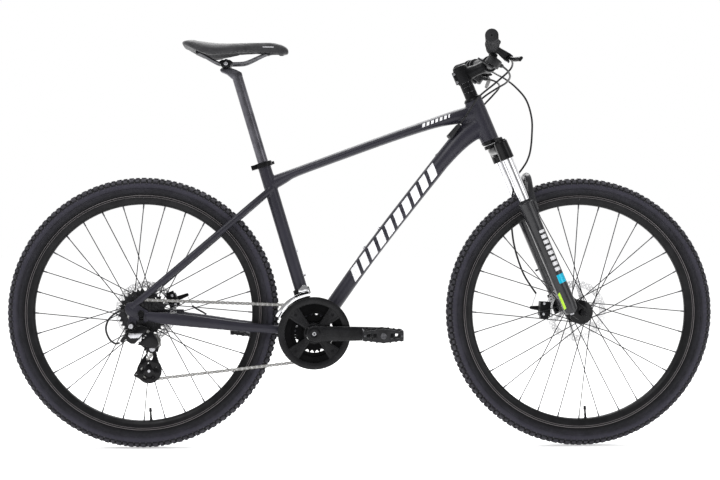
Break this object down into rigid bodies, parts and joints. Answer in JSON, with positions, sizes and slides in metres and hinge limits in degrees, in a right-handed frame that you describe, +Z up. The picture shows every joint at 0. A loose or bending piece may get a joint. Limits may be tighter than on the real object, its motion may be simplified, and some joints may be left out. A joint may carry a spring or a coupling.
{
  "type": "mountain bike",
  "caption": "Hardtail mountain bike with suspension fork, disc brakes, derailleur gears, padded saddle, quick-release wheels and platform pedals.",
  "frame": {"origin": "on the ground, midway between the two wheels and on the bike's centre plane", "axes": "+X forward, +Z up; the drive side with the chain is at -Y, and the wheels turn about Y"},
  "size_m": [1.82, 0.738, 1.047],
  "materials": {
    "frame_paint": "matt charcoal paint with a faint violet sheen",
    "black_alloy": "satin black",
    "black_plastic": "matt black",
    "cable_housing": "smooth black cable housing",
    "tyre": "matt black knobbly rubber",
    "grip_rubber": "ribbed black rubber",
    "saddle_cover": "stitched black synthetic cover over foam",
    "steel": "bright steel",
    "chrome": "polished chrome",
    "chain_steel": "oiled steel"
  },
  "bodies": {
    "frame_body": {"frame": "frame_paint", "seat_collar": "black_alloy", "bottom_bracket": "black_alloy", "front_derailleur_clamp": "black_alloy", "rear_caliper": "black_alloy", "rear_skewer": "black_alloy", "chain": "chain_steel", "rear_brake_cable": "cable_housing", "rear_brake_tail": "cable_housing", "rear_shift_cable": "cable_housing", "rear_shift_loop": "cable_housing", "front_shift_cable": "cable_housing", "derailleur_body": "black_alloy"},
    "rear_brake_arm": {"rear_caliper_arm": "black_alloy"},
    "rear_release_lever": {"rear_qr_lever": "black_alloy"},
    "seat_release_lever": {"collar_lever": "black_alloy"},
    "steering": {"fork_uppers": "chrome", "stem": "black_alloy", "handlebar": "black_alloy", "grip_right": "grip_rubber", "grip_left": "grip_rubber", "brake_bracket_right": "black_alloy", "brake_bracket_left": "black_alloy", "shifter_right": "black_plastic", "shifter_left": "black_plastic", "front_brake_cable": "cable_housing"},
    "right_brake_lever": {"brake_lever_right": "black_alloy"},
    "left_brake_lever": {"brake_lever_left": "black_alloy"},
    "right_shift_lever": {"shift_lever_right": "black_plastic"},
    "left_shift_lever": {"shift_lever_left": "black_plastic"},
    "fork_slider": {"fork_lowers": "black_alloy", "front_caliper": "black_alloy", "front_skewer": "black_alloy"},
    "front_brake_arm": {"front_caliper_arm": "black_alloy"},
    "front_release_lever": {"front_qr_lever": "black_alloy"},
    "front_wheel": {"front_tyre": "tyre", "front_rim": "black_alloy", "front_hub": "black_alloy", "front_rotor": "steel"},
    "rear_wheel": {"rear_tyre": "tyre", "rear_rim": "black_alloy", "rear_hub": "black_alloy", "rear_rotor": "steel"},
    "cassette_unit": {"cassette": "steel"},
    "crankset": {"crank_right": "black_alloy", "crank_left": "black_alloy", "crank_spindle": "steel", "chainrings": "black_alloy", "chain_guard": "black_plastic"},
    "right_pedal": {"pedal_right": "black_plastic"},
    "left_pedal": {"pedal_left": "black_plastic"},
    "rear_derailleur_link": {"derailleur_link": "steel"},
    "rear_derailleur_knuckle": {"derailleur_knuckle": "black_alloy"},
    "rear_derailleur_cage": {"derailleur_cage": "black_alloy"},
    "guide_wheel": {"jockey_upper": "black_plastic"},
    "tension_wheel": {"jockey_lower": "black_plastic"},
    "front_derailleur_mover": {"front_derailleur_cage": "steel"},
    "seatpost_slider": {"seatpost": "black_alloy"},
    "saddle_unit": {"saddle_rails": "steel", "saddle": "saddle_cover"}
  },
  "joints": [
    {"name": "steering_turn", "type": "hinge", "parent": "frame_body", "child": "steering", "pos_m": [0.3095, 0, 0.844], "axis": [-0.3907, 0, 0.9205], "range_deg": [-70, 70], "deforming": ["rear_brake_cable", "rear_shift_cable", "front_shift_cable"]},
    {"name": "fork_travel", "type": "slide", "parent": "steering", "child": "fork_slider", "axis": [-0.3907, 0, 0.9205], "range_m": [0, 0.08], "stiffness_N_per_m": 9000, "deforming": ["front_brake_cable"]},
    {"name": "front_wheel_spin", "type": "hinge", "parent": "fork_slider", "child": "front_wheel", "pos_m": [0.563, 0, 0.347], "axis": [0, 1, 0], "continuous": true},
    {"name": "rear_wheel_spin", "type": "hinge", "parent": "frame_body", "child": "rear_wheel", "pos_m": [-0.563, 0, 0.347], "axis": [0, 1, 0], "continuous": true},
    {"name": "crank_spin", "type": "hinge", "parent": "frame_body", "child": "crankset", "pos_m": [-0.126, 0, 0.296], "axis": [0, 1, 0], "continuous": true},
    {"name": "cassette_spin", "type": "hinge", "parent": "frame_body", "child": "cassette_unit", "pos_m": [-0.563, 0, 0.347], "axis": [0, 1, 0], "continuous": true},
    {"name": "right_pedal_spin", "type": "hinge", "parent": "crankset", "child": "right_pedal", "pos_m": [0.044, -0.138, 0.296], "axis": [0, 1, 0], "continuous": true},
    {"name": "left_pedal_spin", "type": "hinge", "parent": "crankset", "child": "left_pedal", "pos_m": [-0.296, 0.138, 0.296], "axis": [0, 1, 0], "continuous": true},
    {"name": "derailleur_swing", "type": "hinge", "parent": "frame_body", "child": "rear_derailleur_link", "pos_m": [-0.5675, -0.083, 0.2825], "axis": [0.6789, 0, 0.7343], "range_deg": [-20, 8], "deforming": ["chain"]},
    {"name": "derailleur_knuckle_turn", "type": "hinge", "parent": "rear_derailleur_link", "child": "rear_derailleur_knuckle", "pos_m": [-0.541, -0.072, 0.258], "axis": [0.6789, 0, 0.7343], "range_deg": [-8, 20]},
    {"name": "derailleur_cage_turn", "type": "hinge", "parent": "rear_derailleur_knuckle", "child": "rear_derailleur_cage", "pos_m": [-0.536, -0.049, 0.258], "axis": [0, 1, 0], "range_deg": [-8, 25], "deforming": ["chain"]},
    {"name": "guide_wheel_spin", "type": "hinge", "parent": "rear_derailleur_cage", "child": "guide_wheel", "pos_m": [-0.541, -0.049, 0.272], "axis": [0, 1, 0], "continuous": true},
    {"name": "tension_wheel_spin", "type": "hinge", "parent": "rear_derailleur_cage", "child": "tension_wheel", "pos_m": [-0.545, -0.049, 0.201], "axis": [0, 1, 0], "continuous": true},
    {"name": "front_derailleur_turn", "type": "hinge", "parent": "frame_body", "child": "front_derailleur_mover", "pos_m": [-0.152, -0.042, 0.42], "axis": [1, 0, 0], "range_deg": [-4, 3], "deforming": ["chain"]},
    {"name": "left_brake_pull", "type": "hinge", "parent": "steering", "child": "left_brake_lever", "pos_m": [0.34936, 0.20431, 0.98351], "axis": [0.5728, 0.0519, 0.818], "range_deg": [0, 20], "stiffness_Nm_per_rad": 0.8},
    {"name": "left_shift_push", "type": "hinge", "parent": "steering", "child": "left_shift_lever", "pos_m": [0.31012, 0.18097, 0.96344], "axis": [0.5585, 0.0496, 0.828], "range_deg": [0, 25], "stiffness_Nm_per_rad": 0.2},
    {"name": "right_brake_pull", "type": "hinge", "parent": "steering", "child": "right_brake_lever", "pos_m": [0.34936, -0.20431, 0.98351], "axis": [-0.5728, 0.0519, -0.818], "range_deg": [0, 20], "stiffness_Nm_per_rad": 0.8},
    {"name": "right_shift_push", "type": "hinge", "parent": "steering", "child": "right_shift_lever", "pos_m": [0.31012, -0.18097, 0.96344], "axis": [-0.5585, 0.0496, -0.828], "range_deg": [0, 25], "stiffness_Nm_per_rad": 0.2},
    {"name": "front_brake_arm_turn", "type": "hinge", "parent": "fork_slider", "child": "front_brake_arm", "pos_m": [0.48053, 0.067, 0.35278], "axis": [0, 1, 0], "range_deg": [0, 26]},
    {"name": "rear_brake_arm_turn", "type": "hinge", "parent": "frame_body", "child": "rear_brake_arm", "pos_m": [-0.493, 0.078, 0.376], "axis": [0, 1, 0], "range_deg": [0, 26]},
    {"name": "front_release_turn", "type": "hinge", "parent": "fork_slider", "child": "front_release_lever", "pos_m": [0.563, 0.0736, 0.347], "axis": [-0.9205, 0, -0.3907], "range_deg": [0, 170]},
    {"name": "rear_release_turn", "type": "hinge", "parent": "frame_body", "child": "rear_release_lever", "pos_m": [-0.563, 0.0872, 0.347], "axis": [-0.8, 0, -0.6], "range_deg": [0, 170]},
    {"name": "seat_release_turn", "type": "hinge", "parent": "frame_body", "child": "seat_release_lever", "pos_m": [-0.28227, 0.014, 0.71945], "axis": [-0.2874, 0, 0.9578], "range_deg": [0, 120]},
    {"name": "seatpost_height", "type": "slide", "parent": "frame_body", "child": "seatpost_slider", "axis": [-0.2874, 0, 0.9578], "range_m": [-0.12, 0.03]},
    {"name": "saddle_tilt", "type": "hinge", "parent": "seatpost_slider", "child": "saddle_unit", "pos_m": [-0.352, 0, 0.986], "axis": [0, 1, 0], "range_deg": [-8, 8]}
  ],
  "couplings": [
    {"joint": "cassette_spin", "follows": "crank_spin", "ratio": 2},
    {"joint": "guide_wheel_spin", "follows": "crank_spin", "ratio": -3.0909},
    {"joint": "tension_wheel_spin", "follows": "crank_spin", "ratio": 3.0909},
    {"joint": "derailleur_knuckle_turn", "follows": "derailleur_swing", "ratio": -1},
    {"joint": "front_brake_arm_turn", "follows": "left_brake_pull", "ratio": 1.25},
    {"joint": "rear_brake_arm_turn", "follows": "right_brake_pull", "ratio": 1.25}
  ]
}
